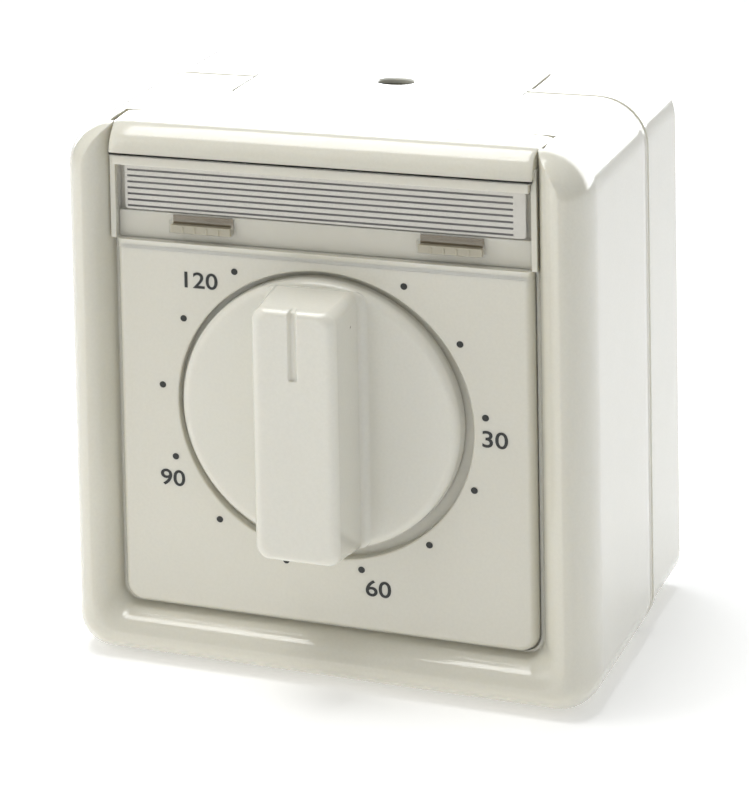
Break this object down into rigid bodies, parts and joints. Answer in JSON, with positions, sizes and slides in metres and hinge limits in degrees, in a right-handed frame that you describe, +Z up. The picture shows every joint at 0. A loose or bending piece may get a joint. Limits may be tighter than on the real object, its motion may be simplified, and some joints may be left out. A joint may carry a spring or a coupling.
{
  "type": "run-down time switch",
  "caption": "Surface-mounted mechanical run-down time switch: deep rounded box, dial plate, bar-handled knob, clear label window, top cable entry and a spring-driven movement inside.",
  "frame": {"origin": "centre of the flat wall face of the rear box", "axes": "+X to the right of someone facing the front, +Y into the wall, +Z up; the knob and its dial face -Y"},
  "size_m": [0.066, 0.0683, 0.0712],
  "materials": {
    "housing_plastic": "smooth cream moulding with a soft gloss",
    "knob_plastic": "smooth cream moulding with a fine satin grain",
    "clear_plastic": "clear moulded plastic",
    "label_paper": "plain white card with printed writing lines",
    "seal_rubber": "soft matt rubber",
    "plated_steel": "bright zinc-plated steel",
    "spring_steel": "blued spring steel",
    "brass": "rolled brass sheet",
    "phosphor_bronze": "rolled phosphor bronze strip",
    "contact_silver": "silver alloy",
    "dark_thermoset": "dark brown thermoset moulding"
  },
  "bodies": {
    "housing": {"rear_box": "housing_plastic", "front_hood": "housing_plastic", "label_cap": "housing_plastic", "dial_plate": "housing_plastic", "cable_entry_top": "housing_plastic", "cable_entry_bottom": "housing_plastic", "label_card": "label_paper", "housing_seal_left": "seal_rubber", "housing_seal_right": "seal_rubber", "support_frame": "plated_steel", "frame_screw_left": "plated_steel", "frame_screw_right": "plated_steel", "hood_screw_left": "plated_steel", "hood_screw_right": "plated_steel", "pillar_upper_left": "plated_steel", "pillar_right": "plated_steel", "pillar_lower": "plated_steel", "terminal_screw_1": "plated_steel", "terminal_screw_2": "plated_steel", "terminal_screw_3": "plated_steel", "mainspring": "spring_steel", "movement_front_plate": "brass", "movement_rear_plate": "brass", "spindle_bush": "brass", "terminal_clamp_1": "brass", "terminal_clamp_2": "brass", "terminal_clamp_3": "brass", "fixed_contact_blade": "phosphor_bronze", "fixed_contact_tip": "contact_silver", "contact_block": "dark_thermoset", "terminal_block": "dark_thermoset"},
    "knob_and_spindle": {"knob": "knob_plastic", "knob_clip": "spring_steel", "main_spindle": "plated_steel", "cam_disc": "dark_thermoset", "drive_wheel": "brass"},
    "second_shaft": {"second_arbor": "plated_steel", "second_pinion": "plated_steel", "second_wheel": "brass"},
    "third_shaft": {"third_arbor": "plated_steel", "third_pinion": "plated_steel", "third_wheel": "brass"},
    "escape_shaft": {"escape_arbor": "plated_steel", "escape_pinion": "plated_steel", "escape_wheel": "brass"},
    "pallet": {"pallet_arbor": "plated_steel", "pallet_lever": "plated_steel", "inertia_bar": "brass"},
    "moving_contact": {"moving_contact_blade": "phosphor_bronze", "moving_contact_tip": "contact_silver"},
    "window": {"label_window": "clear_plastic"}
  },
  "joints": [
    {"name": "knob_turn", "type": "hinge", "parent": "housing", "child": "knob_and_spindle", "pos_m": [0, -0.0577, -0.0003], "axis": [0, 1, 0], "range_deg": [0, 328.5]},
    {"name": "second_turn", "type": "hinge", "parent": "housing", "child": "second_shaft", "pos_m": [0.01347, -0.03, 0.01182], "axis": [0, 1, 0], "range_deg": [-1315, 0]},
    {"name": "third_turn", "type": "hinge", "parent": "housing", "child": "third_shaft", "pos_m": [0.00199, -0.03, 0.01709], "axis": [0, 1, 0], "range_deg": [0, 5257]},
    {"name": "escape_turn", "type": "hinge", "parent": "housing", "child": "escape_shaft", "pos_m": [-0.00843, -0.03, 0.01504], "axis": [0, 1, 0], "range_deg": [-16820.2, 0]},
    {"name": "pallet_rock", "type": "hinge", "parent": "housing", "child": "pallet", "pos_m": [-0.01471, -0.03, 0.00917], "axis": [0, 1, 0], "range_deg": [-6, 6]},
    {"name": "contact_close", "type": "hinge", "parent": "housing", "child": "moving_contact", "pos_m": [-0.0106, -0.0416, -0.0155], "axis": [0, -1, 0], "range_deg": [0, 4.5]},
    {"name": "window_swing", "type": "hinge", "parent": "housing", "child": "window", "pos_m": [0, -0.0557, 0.0296], "axis": [-1, 0, 0], "range_deg": [0, 80]}
  ],
  "couplings": [
    {"joint": "second_turn", "follows": "knob_turn", "ratio": -4},
    {"joint": "third_turn", "follows": "knob_turn", "ratio": 16},
    {"joint": "escape_turn", "follows": "knob_turn", "ratio": -51.2}
  ]
}
